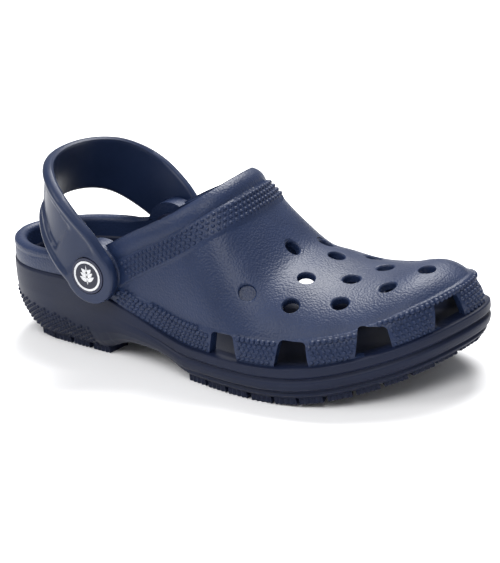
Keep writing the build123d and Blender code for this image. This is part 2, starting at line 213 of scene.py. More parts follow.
def foam_material(name, colour, roughness, grain, grain_scale, shine=0.3):
    """Closed-cell foam: satin skin, faint mottling and a fine moulded grain."""
    material = bpy.data.materials.new(name)
    material.use_nodes = True
    nodes, links = material.node_tree.nodes, material.node_tree.links
    shader = nodes["Principled BSDF"]
    place = nodes.new("ShaderNodeTexCoord")
    mottle = nodes.new("ShaderNodeTexNoise")
    mottle.inputs["Scale"].default_value = 38
    mottle.inputs["Detail"].default_value = 4
    links.new(place.outputs["Object"], mottle.inputs["Vector"])
    ramp = nodes.new("ShaderNodeValToRGB")
    ramp.color_ramp.elements[0].position, ramp.color_ramp.elements[1].position = 0.3, 0.75
    ramp.color_ramp.elements[0].color = (*[c * 0.88 for c in colour], 1)
    ramp.color_ramp.elements[1].color = (*[c * 1.12 for c in colour], 1)
    links.new(mottle.outputs["Fac"], ramp.inputs["Fac"])
    links.new(ramp.outputs["Color"], shader.inputs["Base Color"])
    sheen = nodes.new("ShaderNodeMapRange")
    sheen.inputs["To Min"].default_value = roughness - 0.05
    sheen.inputs["To Max"].default_value = roughness + 0.07
    links.new(mottle.outputs["Fac"], sheen.inputs["Value"])
    links.new(sheen.outputs["Result"], shader.inputs["Roughness"])
    pebble = nodes.new("ShaderNodeTexVoronoi")
    pebble.feature = "SMOOTH_F1"
    pebble.inputs["Scale"].default_value = grain_scale
    pebble.inputs["Smoothness"].default_value = 0.6
    links.new(place.outputs["Object"], pebble.inputs["Vector"])
    bump = nodes.new("ShaderNodeBump")
    bump.inputs["Distance"].default_value = 0.0006
    bump.inputs["Strength"].default_value = grain
    bump.invert = True
    links.new(pebble.outputs["Distance"], bump.inputs["Height"])
    links.new(bump.outputs["Normal"], shader.inputs["Normal"])
    shader.inputs["Specular IOR Level"].default_value = shine
    return material


# The sole, its heel dots and its lugs share this foam: the upper's navy darkened to about half,
# painted shade for the low side wall, which the lamps light less than the vamp.
SOLE_NAVY_WITH_PAINTED_SHADE = (0.0055, 0.0095, 0.028)
sole_foam = foam_material("navy_sole_foam_painted_shade", SOLE_NAVY_WITH_PAINTED_SHADE, 0.48, 0.10, 1500, shine=0.2)

TREAD_INSET, HEEL_TREAD_INSET, SOLE_WALL = 5.0, 9.0, 9.0
SOLE_BULGE = [(0.0, 1.0), (0.05, 0.80), (0.14, 0.48), (0.30, 0.20), (0.48, 0.04), (0.66, 0.0),
              (0.86, 0.02), (0.97, 0.05), (1.0, 0.20)]  # shares of the height and the tread's inset
WALL_GROOVES = ((0.66, 1.7, 1.0), (0.24, 1.7, 1.1))  # share of the height, depth, half width in mm


def set_in(inset, z):
    """The sole's outline moved inwards, at the given heights."""
    return np.column_stack([plan_x - PLAN_OUT[:, 0] * inset, plan_y - PLAN_OUT[:, 1] * inset, z])


def tread_inset(x):
    return TREAD_INSET + (HEEL_TREAD_INSET - TREAD_INSET) * ease(-np.asarray(x), 14.4, 57.6)


def groove(distance, depth, half_width):
    return depth * np.exp(-(distance / half_width) ** 2)


plan_x, plan_y = PLAN[:, 0], PLAN[:, 1]
floor_z = ground_line(plan_x) + LUG_HEIGHT * 0.9 * (ground_line(plan_x) - spring(plan_x) < 4.0)
floor_z = np.convolve(np.r_[floor_z[-4:], floor_z, floor_z[:4]], np.ones(9) / 9, "valid")
seam_z = seam_height(plan_x)
sole_rings = []
for step in range(64):
    share = step / 63
    z = floor_z + share * (seam_z - floor_z)
    tuck = tread_inset(plan_x) * np.interp(share, *zip(*SOLE_BULGE))
    for level, depth, half in WALL_GROOVES:
        fade = ease(plan_x, -60, 20) if level > 0.5 else ease(plan_x, -20, 30)
        tuck = tuck + fade * groove((share - level) * (seam_z - floor_z), depth, half)
    sole_rings.append(set_in(tuck, z))
footbed_z = footbed_height(plan_x)
for inset, z in ((4.0, seam_z), (SOLE_WALL, seam_z), (SOLE_WALL + 0.4, seam_z - 1.5),
                 (SOLE_WALL + 0.6, footbed_z + 5), (SOLE_WALL + 2.5, footbed_z + 1.2),
                 (SOLE_WALL + 6.0, footbed_z)):
    sole_rings.append(set_in(inset, z))


def towards_spine(loop, share, height):
    """The loop shrunk towards the middle line of the shoe."""
    x = np.clip(loop[:, 0], -105, 92)
    lines = [np.interp(x, *side_table(loop, side)) for side in (-1, 1)]
    middle = np.stack([x, (lines[0] + lines[1]) / 2], 1)
    flat = middle + (loop[:, :2] - middle) * (1 - share)
    return np.column_stack([flat, height(flat[:, 0])])


def side_table(loop, side):
    """x and y of one side of a closed loop, -1 the outer side and 1 the inner, sorted by x."""
    front, rear = loop[:, 0].argmax(), loop[:, 0].argmin()
    line = loop[rear, 1] + (loop[front, 1] - loop[rear, 1]) * (loop[:, 0] - loop[rear, 0]) / (
        loop[front, 0] - loop[rear, 0])
    part = loop[(loop[:, 1] - line) * side >= 0]
    part = part[part[:, 0].argsort()]
    return part[:, 0], part[:, 1]


def underside(x):
    raised = LUG_HEIGHT * 0.9 * (1 - ease(ground_line(x) - spring(x), 2.0, 5.0))
    return ground_line(x) + raised


bed_edge = sole_rings[-1]
for share in (0.15, 0.35, 0.6, 0.85, 1.0):
    sole_rings.append(towards_spine(bed_edge, share, footbed_height))
LUG_LENGTH, LUG_WIDTH, LUG_PITCH = 13.0, 12.4, 15.0
edge = sole_rings[0]
below = [np.column_stack([edge[:, :2] - PLAN_OUT * inset, height(edge[:, 0])])
         for inset, height in ((LUG_LENGTH, ground_line), (LUG_LENGTH - 0.5, underside),
                               (2.0, underside))]
for share in (0.3, 0.7, 1.0):
    below.insert(0, towards_spine(below[0], share, ground_line))
sole_rings = below + sole_rings
sole = moulded("sole_foam", np.vstack(sole_rings), ring_faces(len(sole_rings), 720), sole_foam)
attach(sole, "clog")
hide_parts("sole")


def scatter(name, places, normals, along, sizes, shape, material):
    """One mesh with the small shape set on every place, upright on its normal, made by nodes."""
    points = bpy.data.meshes.new(name)
    points.from_pydata((np.asarray(places) * 0.001).tolist(), [], [])
    for label, values in (("facing", normals), ("along", along)):
        points.attributes.new(label, "FLOAT_VECTOR", "POINT").data.foreach_set(
            "vector", np.asarray(values, float).ravel())
    size_values = points.attributes.new("size", "FLOAT", "POINT").data
    size_values.foreach_set("value", np.asarray(sizes, float))
    carrier = bpy.data.objects.new(name, points)
    bpy.context.scene.collection.objects.link(carrier)
    tree = bpy.data.node_groups.new(name, "GeometryNodeTree")
    tree.interface.new_socket("Points", in_out="INPUT", socket_type="NodeSocketGeometry")
    shape_socket = tree.interface.new_socket("Shape", in_out="INPUT", socket_type="NodeSocketObject")
    tree.interface.new_socket("Geometry", in_out="OUTPUT", socket_type="NodeSocketGeometry")
    nodes, links = tree.nodes, tree.links
    entry, leave = nodes.new("NodeGroupInput"), nodes.new("NodeGroupOutput")
    info, place = nodes.new("GeometryNodeObjectInfo"), nodes.new("GeometryNodeInstanceOnPoints")
    links.new(entry.outputs["Shape"], info.inputs["Object"])
    links.new(entry.outputs["Points"], place.inputs["Points"])
    links.new(info.outputs["Geometry"], place.inputs["Instance"])
    turn = None
    for label, axis in (("facing", "Z"), ("along", "X")):
        read = nodes.new("GeometryNodeInputNamedAttribute")
        read.data_type = "FLOAT_VECTOR"
        read.inputs["Name"].default_value = label
        align = nodes.new("FunctionNodeAlignRotationToVector")
        align.axis = axis
        if turn:
            align.pivot_axis = "Z"
            links.new(turn.outputs["Rotation"], align.inputs["Rotation"])
        links.new(read.outputs["Attribute"], align.inputs["Vector"])
        turn = align
    links.new(turn.outputs["Rotation"], place.inputs["Rotation"])
    scale = nodes.new("GeometryNodeInputNamedAttribute")
    scale.inputs["Name"].default_value = "size"
    links.new(scale.outputs["Attribute"], place.inputs["Scale"])
    real, paint = nodes.new("GeometryNodeRealizeInstances"), nodes.new("GeometryNodeSetMaterial")
    paint.inputs["Material"].default_value = material
    links.new(place.outputs["Instances"], real.inputs["Geometry"])
    links.new(real.outputs["Geometry"], paint.inputs["Geometry"])
    links.new(paint.outputs["Geometry"], leave.inputs["Geometry"])
    modifier = carrier.modifiers.new(name, "NODES")
    modifier.node_group = tree
    modifier[shape_socket.identifier] = shape
    bpy.context.view_layer.update()
    done = bpy.data.meshes.new_from_object(
        carrier.evaluated_get(bpy.context.evaluated_depsgraph_get()))
    done.name = name
    bpy.data.objects.remove(carrier)
    bpy.data.objects.remove(shape)
    made = bpy.data.objects.new(name, done)
    bpy.context.scene.collection.objects.link(made)
    return made


HEEL_BAND = [(-144, 27.0), (-124, 25.0), (-100, 21.0), (-76, 16.5)]  # top of the dotted band
heel_dome = [(1.0, -0.25), (0.84, 0.42), (0.44, 0.74)]


def dome():
    """A raised dot of a few faces."""
    points = [(r * cos(2 * pi * k / 8), r * sin(2 * pi * k / 8), z) for r, z in heel_dome
              for k in range(8)]
    faces = ring_faces(3, 8) + [(16 + k, 16 + (k + 1) % 8, 24) for k in range(8)]
    return moulded("dome", points + [(0, 0, 0.84)], faces)


# ---- Heel dots ----------------------------------------------------------------------------
# Rows of small domes on the lower half of the heel's side wall, under a sloping band that is
# left smooth.
HEEL_DOT_SIZE, HEEL_DOT_ROWS, HEEL_ROW_PITCH, HEEL_FIRST_ROW = 1.1, 12, 2.7, 5.5
wall_points = np.stack(sole_rings[len(below):len(below) + 64], 1)
heel_places, heel_facing = [], []
for k in range(720):
    if plan_x[k] > -72 or k % 3:
        continue
    column = wall_points[k]
    rise = np.gradient(column, axis=0)
    out = np.array([PLAN_OUT[k, 0], PLAN_OUT[k, 1], 0])
    for row in range(HEEL_DOT_ROWS):
        z = HEEL_FIRST_ROW + (row + 0.5 * ((k // 3) % 2)) * HEEL_ROW_PITCH
        if z > np.interp(plan_x[k], *zip(*HEEL_BAND)) or z < column[0, 2] + 1.5:
            continue
        at = np.array([np.interp(z, column[:, 2], column[:, i]) for i in range(3)])
        lean = np.array([np.interp(z, column[:, 2], rise[:, i]) for i in range(3)])
        facing = out * lean[2] - np.array([0, 0, 1]) * (lean @ out)
        heel_places.append(at)
        heel_facing.append(facing / np.linalg.norm(facing))
heel_facing = np.array(heel_facing)
heel_dots = scatter("heel_dots", heel_places, heel_facing, np.cross(heel_facing, [0.3, 0.5, 0.8]),
                    np.full(len(heel_places), HEEL_DOT_SIZE), dome(), sole_foam)
heel_dots.data.polygons.foreach_set("use_smooth", [True] * len(heel_dots.data.polygons))
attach(heel_dots, "clog")


# ---- Tread lugs ---------------------------------------------------------------------------
# Separate blocks round the edge of the tread, with small serrations on their outer faces;
# the arch has none.
def lug_shape():
    half_l, half_w, low = LUG_LENGTH / 2, LUG_WIDTH / 2, 0.6
    outer = [(half_l - 0.8 * (k % 2), -half_w + LUG_WIDTH * k / 8) for k in range(9)]
    plan = [(-half_l, -half_w)] + outer + [(-half_l, half_w)]
    rings = [(1.0, 4.4), (1.0, low), (0.93, 0.15)]
    points = [(x * f, y * f, z) for f, z in rings for x, y in plan]
    faces = ring_faces(3, len(plan), flip=True)
    faces.append(tuple(range(2 * len(plan), 3 * len(plan)))[::-1])
    faces.append(tuple(range(len(plan))))
    return moulded("lug_block", points, faces, smooth=False)


lug_index = np.linspace(0, 720, int(670 / LUG_PITCH), endpoint=False).astype(int)
lug_index = [k for k in lug_index if HEEL_TREAD_REAR < plan_x[k] < HEEL_TREAD_FRONT - 5
             or plan_x[k] > BALL_TREAD_REAR + 6]
lug_out = np.column_stack([PLAN_OUT[lug_index], np.zeros(len(lug_index))])
lug_x = plan_x[lug_index]
lug_place = np.column_stack([PLAN[lug_index] - PLAN_OUT[lug_index] *
                             (tread_inset(lug_x) + LUG_LENGTH / 2 - 0.6)[:, None], spring(lug_x)])
slope = 2 * TOE_SPRING * np.maximum(0, lug_x - SPRING_START) / (LENGTH / 2 - SPRING_START) ** 2
lug_up = np.column_stack([-slope, np.zeros(len(lug_x)), np.ones(len(lug_x))])
lugs = scatter("tread_lugs", lug_place, lug_up, lug_out, np.ones(len(lug_x)), lug_shape(), sole_foam)
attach(lugs, "clog")


# ---- Upper shell --------------------------------------------------------------------------
# The vamp, collar and heel band are one moulding whose skin has a fine pebble grain. Its rolled
# collar is followed by a raised band with dots, and windows stand on the parting line.
CREST = [(-40.3, 131.0), (14, 99.2), (30, 79.2), (45, 63.8), (60, 59.2), (75, 55.8), (95, 56.2),
         (120, 61.5), (144, 61.5)]
COLLAR = [(-172.8, 54.0), (-92, 54.0), (-70, 58.5), (-53, 67.0), (-43, 72.2), (-33, 77.3),
          (-22.5, 82.2), (-12.4, 87.2), (-4, 92.0), (3, 96.3), (11.2, 101.1), (34.6, 122.0)]
COLLAR_REAR, CREST_END = -92.0, 86.0
RIM_OF_COLLAR_TOP, RIM_OF_CREST_END = 26.0, 101.0
HEEL_RIM = 54.0
CROSS, TOE_CROSS, TOE_START = 2.2, 2.65, 105.1
UPPER_INSET, HEEL_INSET, UPPER_WALL, HEEL_WALL = 3.0, 1.2, 4.5, 7.5
CREST_COLUMNS, TOE_COLUMNS, HEEL_COLUMNS = 84, 130, 430
SIDE_COLUMNS = 2 * CREST_COLUMNS + TOE_COLUMNS + HEEL_COLUMNS
WALL_ROWS, COLLAR_ROWS, LINING_ROWS = 60, 36, 18
ROLL_WIDTH, BAND_END = 9.5, 22.5


def through(points, x):
    """Smooth line through (x, value) pairs."""
    xs, vs = (np.array(c, float) for c in zip(*points))
    slope = np.gradient(vs, xs)
    x = np.clip(x, xs[0], xs[-1])
    i = np.clip(np.searchsorted(xs, x, side="right") - 1, 0, len(xs) - 2)
    h = xs[i + 1] - xs[i]
    t = (x - xs[i]) / h
    return (vs[i] + (vs[i + 1] - vs[i]) * t * t * (3 - 2 * t)
            + t * (1 - t) ** 2 * h * slope[i] + t * t * (t - 1) * h * slope[i + 1])


COLLAR_TOP, beyond = 0.0, 30.0  # narrowed down to where the collar's edge meets the crest
for _ in range(40):
    middle = (COLLAR_TOP + beyond) / 2
    if through(COLLAR, middle) < through(CREST, middle):
        COLLAR_TOP = middle
    else:
        beyond = middle


def crest_y(x):
    return 2.0 + 13.0 * ease(x, -28.8, 144.0)


upper_inset = HEEL_INSET + (UPPER_INSET - HEEL_INSET) * ease(plan_x, -57.6, -5.8)
upper_plan = PLAN - PLAN_OUT * upper_inset[:, None]
OUTER_LINE = side_table(upper_plan, -1)
INNER_LINE = side_table(upper_plan, 1)
FRONT = upper_plan[:, 0].max()


def edge_y(x, side):
    return np.where(side < 0, np.interp(x, *OUTER_LINE), np.interp(x, *INNER_LINE))


def crest_height(x):
    share = np.clip((x - TOE_START) / (FRONT - TOE_START), 0, 1)
    base = seam_height(x)
    return base + (through(CREST, x) - base) * np.sqrt(1 - share**TOE_CROSS)


def vamp_height(x, y):
    middle = crest_y(x)
    edge = edge_y(x, np.sign(y - middle))
    half = np.where(np.abs(edge - middle) < 0.01, 0.01, edge - middle)
    share = np.clip(np.abs((y - middle) / half), 0, 1)
    base = seam_height(x)
    return base + (crest_height(x) - base) * np.sqrt(1 - share**CROSS)


def vamp_normal(x, y, step=0.4):
    sx = (vamp_height(x + step, y) - vamp_height(x - step, y)) / (2 * step)
    sy = (vamp_height(x, y + step) - vamp_height(x, y - step)) / (2 * step)
    n = np.stack([-sx, -sy, np.ones_like(sx)], -1)
    return n / np.linalg.norm(n, axis=-1, keepdims=True)


def collar_point(x, side):
    """A point on the collar's edge over x, on the outer (-1) or inner (1) side."""
    z = through(COLLAR, x)
    base = seam_height(x)
    rise = np.clip((z - base) / (through(CREST, x) - base), 0, 1)
    spread = (1 - rise**2) ** (1 / CROSS)
    middle = crest_y(x)
    return np.stack([x, middle + (edge_y(x, side) - middle) * spread, z], -1)


def rim_place(x, side):
    """How far round the rim, in points of the loop, one side of it reaches x."""
    half = upper_plan[:, 0].argmax()
    part = upper_plan[:half, 0] if side < 0 else upper_plan[half:, 0][::-1]
    found = np.interp(x, part, np.arange(len(part)))
    return found if side < 0 else len(upper_plan) - 1 - found


out_top, out_front = rim_place(RIM_OF_COLLAR_TOP, -1), rim_place(RIM_OF_CREST_END, -1)
in_front, in_top = rim_place(RIM_OF_CREST_END, 1), rim_place(RIM_OF_COLLAR_TOP, 1)
rim_at = np.concatenate([
    np.linspace(out_top, out_front, CREST_COLUMNS, endpoint=False),
    np.linspace(out_front, in_front, TOE_COLUMNS, endpoint=False),
    np.linspace(in_front, in_top, CREST_COLUMNS, endpoint=False),
    np.linspace(in_top, out_top + 720, HEEL_COLUMNS, endpoint=False),
])
INNER_FIRST = CREST_COLUMNS + TOE_COLUMNS
INNER_TOP = INNER_FIRST + CREST_COLUMNS  # column at the collar's top, seen from the inner side


wrapped = np.vstack([upper_plan, upper_plan, upper_plan[:1]])
upper_rim = np.stack([np.interp(rim_at, np.arange(len(wrapped)), wrapped[:, i]) for i in range(2)], 1)


def column_end(k, x, y, side):
    """Where column k of the shell ends: on the crest, at the toe's pole or on the collar."""
    station = min(k, CREST_COLUMNS) if k < INNER_FIRST else INNER_TOP - k
    if station >= 0:
        cx = COLLAR_TOP + station / CREST_COLUMNS * (CREST_END - COLLAR_TOP)
        return np.array([cx, float(crest_y(cx)), float(crest_height(cx))])
    if x < COLLAR_REAR:
        return np.array([x, y, HEEL_RIM])
    t = (x - COLLAR_REAR) / (RIM_OF_COLLAR_TOP - COLLAR_REAR)
    return collar_point(np.array(COLLAR_REAR + (2 * t - t * t) * (COLLAR_TOP - COLLAR_REAR)), side)


ROWS = WALL_ROWS + COLLAR_ROWS
shell = np.zeros((SIDE_COLUMNS, ROWS + 1, 3))
for k in range(SIDE_COLUMNS):
    x, y = upper_rim[k]
    side = -1 if y < crest_y(x) else 1
    end = column_end(k, x, y, side)
    base = float(seam_height(x))
    if x < COLLAR_REAR:
        t = np.linspace(0, 1, 200)
        path = np.stack([x + 0 * t, y + 0 * t, base + (end[2] - base) * t], 1)
    else:
        middle = float(crest_y(end[0]))
        reach = abs((end[1] - middle) / (float(edge_y(end[0], side)) - middle))
        stop = np.arccos(np.clip(reach, 0, 1) ** (CROSS / 2))
        rho = np.cos(np.linspace(0, stop, 200)) ** (2 / CROSS)
        t = (1 - rho) / (1 - rho[-1])
        px, py = x + (end[0] - x) * t, y + (end[1] - y) * t
        if reach > 0.8:
            angle = np.linspace(0, 1, 200)
            px = x + (end[0] - x) * angle
            high = base + (end[2] - base) * np.sin(angle * pi / 2)
            low, crest, mid = seam_height(px), through(CREST, px), crest_y(px)
            rise = np.clip((high - low) / (crest - low), 0, 1)
            py = mid + (edge_y(px, side) - mid) * (1 - rise**2) ** (1 / CROSS)
            path = np.stack([px, py, high], 1)
        else:
            path = np.stack([px, py, vamp_height(px, py)], 1)
        path[-1] = end
    run = np.r_[0, np.cumsum(np.linalg.norm(np.diff(path, axis=0), axis=1))]
    near = min(30.0, run[-1] * 0.6)
    at = np.r_[np.linspace(0, run[-1] - near, WALL_ROWS, endpoint=False),
               np.linspace(run[-1] - near, run[-1], COLLAR_ROWS + 1)]
    shell[k] = np.stack([np.interp(at, run, path[:, i]) for i in range(3)], 1)
collar_columns = (np.arange(SIDE_COLUMNS) >= INNER_TOP) | (np.arange(SIDE_COLUMNS) == 0)


def grid_normals(grid):
    along = np.roll(grid, -1, 0) - np.roll(grid, 1, 0)
    rise = np.gradient(grid, axis=1)
    n = np.cross(along, rise)
    length = np.linalg.norm(n, axis=2, keepdims=True)
    return n / np.maximum(length, 1e-9)


def skin_level(points):
    """Zero on the shell's guide surface, more outside it and less inside."""
    x, y, z = points[..., 0], points[..., 1], points[..., 2]
    middle, base = crest_y(x), seam_height(x)
    side = np.where(y < middle, -1, 1)
    across = np.abs((y - middle) / (edge_y(x, side) - middle))
    return across**CROSS + ((z - base) / np.maximum(crest_height(x) - base, 0.5)) ** 2 - 1


normals = grid_normals(shell)
steps = np.eye(3) * 0.3
slope = np.stack([skin_level(shell + s) - skin_level(shell - s) for s in steps], -1)
slope /= np.maximum(np.linalg.norm(slope, axis=2, keepdims=True), 1e-9)
guided = (shell[:, :, 0] > COLLAR_REAR + 2) & (shell[:, :, 0] < 134)
normals[guided] = slope[guided]
flat = shell.reshape(-1, 3)

# the collar's edge as one line from the outer side over the instep to the inner side
turned = np.linspace(0, 1, 700)
collar_x = -144 + (2 * turned - turned**2) * (COLLAR_TOP + 144)
collar_line = np.vstack([collar_point(collar_x, -1), collar_point(collar_x[::-1], 1)])
collar_line = collar_line[np.r_[True, np.linalg.norm(np.diff(collar_line, axis=0), axis=1) > 1e-6]]
collar_run = np.r_[0, np.cumsum(np.linalg.norm(np.diff(collar_line, axis=0), axis=1))]
gap = np.full(len(flat), 99.0)
place_on_collar = np.zeros(len(flat))
for start in range(0, len(flat), 4000):
    part = flat[start:start + 4000]
    d2 = ((part[:, None, :] - collar_line[None]) ** 2).sum(2)
    gap[start:start + 4000] = np.sqrt(d2.min(1))
    place_on_collar[start:start + 4000] = collar_run[d2.argmin(1)]
gap = gap.reshape(shell.shape[:2])
SEAM_BAND = [(-144, 0.0), (-60, 0.0), (-46, 9.5), (-24, 12.5), (26, 12.2), (95, 13.0),
             (122, 16.5), (144, 17.5)]
above = shell[:, :, 2] - seam_height(shell[:, :, 0])
seam_band = np.interp(shell[:, :, 0], *zip(*SEAM_BAND))
fade = ease(shell[:, :, 0], -66, -44)
heel_fade = 0.35 + 0.65 * fade
roll = 1.3 * np.sin(pi * np.clip(gap / ROLL_WIDTH, 0, 1)) ** 0.7 * heel_fade
within = ease(gap, ROLL_WIDTH, ROLL_WIDTH + 1.2) * (1 - ease(gap, BAND_END - 0.5, BAND_END + 0.7))
band = 0.75 * within * fade
foot = 0.7 * (1 - ease(above, seam_band - 0.4, seam_band + 0.8)) * ease(shell[:, :, 0], -52, -44)
lift = roll + np.maximum(band, foot) - 0.45
outer = shell + normals * lift[:, :, None]
outer[:, 0, 2] = seam_height(upper_rim[:, 0])

wall = HEEL_WALL + (UPPER_WALL - HEEL_WALL) * ease(shell[:, :, 0], -57.6, -5.8)
lining_rows = np.linspace(ROWS, 0, LINING_ROWS).round().astype(int)
lining = (shell - normals * wall[:, :, None])[:, lining_rows]
lining[:, -1, 2] = seam_height(upper_rim[:, 0])
tip_up = shell[:, -1] - shell[:, -3]
tip_up /= np.maximum(np.linalg.norm(tip_up, axis=1, keepdims=True), 1e-9)
bead = []
for angle in np.radians((30, 60, 90, 120, 150)):
    half = (wall[:, -1] / 2)[:, None]
    middle = shell[:, -1] - normals[:, -1] * half
    bead.append(middle + half * (normals[:, -1] * cos(angle) + 0.75 * tip_up * sin(angle)))
bead = np.stack(bead, 1)
joined = ~collar_columns
bead[joined] = shell[joined, -1:]


def shell_mesh():
    """The outer face, the rolled edge and the lining as one closed skin."""
    faces = []
    n_out, n_bead = outer.shape[1], bead.shape[1]
    columns = np.concatenate([outer, bead, lining], 1)
    total = columns.shape[1]
    points = columns.reshape(-1, 3)
    for k in range(SIDE_COLUMNS):
        j = (k + 1) % SIDE_COLUMNS
        for r in range(total):
            if r == total - 1:
                faces.append((k * total + r, j * total + r, j * total, k * total))
                continue
            if n_out - 1 <= r < n_out + n_bead and not (collar_columns[k] and collar_columns[j]):
                continue
            faces.append((k * total + r, j * total + r, j * total + r + 1, k * total + r + 1))
    return points, faces


def weld(made, distance=0.00002):
    work = bmesh.new()
    work.from_mesh(made.data)
    bmesh.ops.remove_doubles(work, verts=work.verts, dist=distance)
    bmesh.ops.dissolve_degenerate(work, edges=work.edges, dist=distance)
    bmesh.ops.recalc_face_normals(work, faces=work.faces)
    work.to_mesh(made.data)
    work.free()


# both sides' columns meet on the crest line and end on the same points
for k in range(INNER_FIRST + 1):
    x = shell[k, -1, 0]
    n = vamp_normal(np.array(x), crest_y(x))
    outer[k, -1] = shell[k, -1] + n * lift[k, -1]
    if k:
        lining[k, 0] = shell[k, -1] - n * UPPER_WALL
for k in range(CREST_COLUMNS + 1):
    twin = INNER_TOP - k
    outer[twin, -1], lining[twin, 0], bead[twin] = outer[k, -1], lining[k, 0], bead[k]
upper_foam = foam_material("navy_upper_foam", (0.0105, 0.0205, 0.058), 0.42, 0.30, 900)
upper = moulded("upper_foam", *shell_mesh(), upper_foam)
weld(upper, 0.00001)


def combine(made, tool, operation):
    """Cuts the tool out of the piece, or joins it on, and removes the tool."""
    weld(tool)
    step = made.modifiers.new("combine", "BOOLEAN")
    step.operation, step.object, step.solver = operation, tool, "MANIFOLD"
    made.data = bpy.data.meshes.new_from_object(
        made.evaluated_get(bpy.context.evaluated_depsgraph_get()))
    made.modifiers.clear()
    bpy.data.objects.remove(tool)


def cutter(name, profile, around, place, axis):
    """A turned shape for cutting a hole: (height, radius) pairs along an axis."""
    z = Vector(axis).normalized()
    turn = z.to_track_quat("Z", "Y").to_matrix()
    points = []
    for height, radius in profile:
        for k in range(around):
            a = 2 * pi * k / around
            points.append(Vector(place) + turn @ Vector((radius * cos(a), radius * sin(a), height)))
    faces = ring_faces(len(profile), around)
    faces.append(tuple(range(around))[::-1])
    faces.append(tuple(range(around * (len(profile) - 1), around * len(profile))))
    return moulded(name, points, faces)


HOLES = [(42.8, -0.3), (61.3, 11.9), (89.6, 11.4), (116.2, 6.1), (59.3, -17.2), (79.3, -6.2),
         (102.2, -11.1), (60.4, -36.4), (83.4, -26.8), (48.0, 25.0), (75.0, 27.0), (101.0, 27.0)]
BLIND_HOLE = (37.5, -39.8)
HOLE_RADIUS, LIP = 4.3, 1.5
lip_curve = [(-LIP + LIP * sin(a), HOLE_RADIUS + LIP * (1 - cos(a)))
             for a in np.linspace(0, pi / 2, 6)]
through_profile = [(-12, HOLE_RADIUS)] + lip_curve + [(3, HOLE_RADIUS + LIP + 0.3)]
blind_profile = [(-2.0, HOLE_RADIUS)] + lip_curve + [(3, HOLE_RADIUS + LIP + 0.3)]
cutters = []
for k, (x, y) in enumerate(HOLES + [BLIND_HOLE]):
    at = np.array([x, y, float(vamp_height(x, y))])
    n = vamp_normal(np.array(float(x)), np.array(float(y)))
    profile = blind_profile if k == len(HOLES) else through_profile
    cutters.append(cutter(f"hole_cutter_{k}", profile, 36, at - n * 0.35, n))
VENT_COUNT, VENT_START, VENT_PITCH = 8, 0.285, 43.0
VENT_WIDTH, VENT_TOP_WIDTH, VENT_HEIGHT, VENT_DEPTH = 19.5, 15.0, 12.5, 17.0
PLAN_LENGTH = float(np.linalg.norm(np.roll(PLAN, -1, 0) - PLAN, axis=1).sum())
corner = 2.6
vent_outline = [(-VENT_WIDTH / 2, -1.0), (VENT_WIDTH / 2, -1.0)]
for sign, turn_from in ((1, 0.0), (-1, pi / 2)):
    for a in np.linspace(turn_from, turn_from + pi / 2, 5):
        vent_outline.append((sign * (VENT_TOP_WIDTH / 2 - corner) + corner * cos(a),
                             VENT_HEIGHT - corner + corner * sin(a)))
vent_places = []
for k in range(VENT_COUNT):
    i = round((VENT_START + k * VENT_PITCH / PLAN_LENGTH) * 720) % 720
    (x, y), (nx, ny) = PLAN[i], PLAN_OUT[i]
    vent_places.append((x, y, nx, ny))
    start = Vector((x, y, float(seam_height(x))))
    points = [start + Vector((-ny * u, nx * u, v)) + Vector((nx, ny, 0)) * d
              for d in (5.0, -VENT_DEPTH) for u, v in vent_outline]
    count = len(vent_outline)
    faces = ring_faces(2, count) + [tuple(range(count))[::-1], tuple(range(count, 2 * count))]
    cutters.append(moulded(f"vent_cutter_{k}", points, faces))
PIVOT = np.array([-58.7, 1.8, 53.3])
PAD_SPAN = 42.0
for side in (-1, 1):
    pad = [(-11, 15.6), (-1.2, 15.6), (0, 14.6)]
    boss = cutter("boss", pad, 48, PIVOT + [0, side * PAD_SPAN, 0], (0, side, 0))
    combine(upper, boss, "UNION")
for tool in cutters:
    combine(upper, tool, "DIFFERENCE")
upper.data.set_sharp_from_angle(angle=radians(38))
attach(upper, "clog")
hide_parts("upper_shell")


# ---- Raised dots --------------------------------------------------------------------------
# Small domes in rows: round the collar behind its rolled edge, above the parting line, and
# a row of larger beads along the top of the lower band.
dot_places, dot_facing, dot_sizes = [], [], []
DOT_PITCH, DOT_SIZE = 3.0, 1.15
column_step = np.linalg.norm(np.roll(upper_rim, -1, 0) - upper_rim, axis=1)
plan_run = np.r_[0, np.cumsum(column_step)]
count = int(plan_run[-1] / DOT_PITCH)
up_run = np.concatenate([np.zeros((SIDE_COLUMNS, 1)),
                         np.cumsum(np.linalg.norm(np.diff(outer, axis=1), axis=2), axis=1)], 1)
for n in range(count):
    for row in range(6):
        run = (n + 0.5 * (row % 2)) * DOT_PITCH
        k = int(np.searchsorted(plan_run, run, side="right") - 1) % SIDE_COLUMNS
        part = (run - plan_run[k]) / column_step[k]
        x = upper_rim[k, 0]
        height = 1.9 + 2.5 * row
        limit = float(np.interp(x, *zip(*SEAM_BAND)))
        if x < -50 or height > limit - 0.4:
            continue
        top_row = height + 2.5 > limit - 0.4
        at = sum(w * np.array([np.interp(height, up_run[j], outer[j, :, i]) for i in range(3)])
                 for j, w in ((k, 1 - part), ((k + 1) % SIDE_COLUMNS, part)))
        if any(abs((at[0] - vx) * -ny + (at[1] - vy) * nx) < VENT_WIDTH / 2 + 1.1 - 0.18 * height
               and abs((at[0] - vx) * nx + (at[1] - vy) * ny) < 14 and height < VENT_HEIGHT + 1.2
               for vx, vy, nx, ny in vent_places):
            continue
        facing = np.array([np.interp(height, up_run[k], normals[k, :, i]) for i in range(3)])
        dot_places.append(at)
        dot_facing.append(facing)
        dot_sizes.append((1.4 if top_row else 1.0) * DOT_SIZE)

